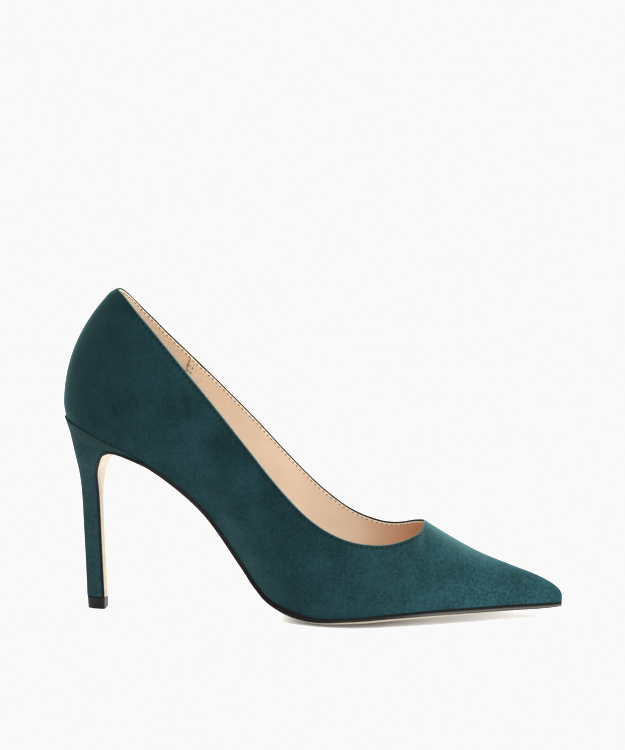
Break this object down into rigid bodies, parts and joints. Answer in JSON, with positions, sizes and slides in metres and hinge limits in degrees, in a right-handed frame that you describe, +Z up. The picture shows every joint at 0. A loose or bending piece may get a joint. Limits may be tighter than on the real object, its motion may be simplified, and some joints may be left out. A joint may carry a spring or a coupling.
{
  "type": "stiletto heel court shoe",
  "caption": "Pointed court shoe for the right foot on a slim stiletto heel: hollow suede upper with a low cut collar and throat, over a thin curved sole.",
  "frame": {"origin": "middle of the shoe's box, on the floor that it stands on", "axes": "+X towards the toe, -Y towards the outer side of the foot, +Z up"},
  "size_m": [0.2352, 0.0714, 0.153],
  "materials": {
    "upper_suede": "dark teal suede, soft nap",
    "lining_leather": "smooth beige leather",
    "sole_leather": "smooth cream sole with a black painted edge",
    "heel_suede": "dark teal suede over a moulded core",
    "top_piece_plastic": "black moulded polyurethane"
  },
  "bodies": {
    "root": {"upper": "upper_suede", "insole": "lining_leather", "outsole": "sole_leather", "heel": "heel_suede", "top_piece": "top_piece_plastic"}
  },
  "joints": []
}
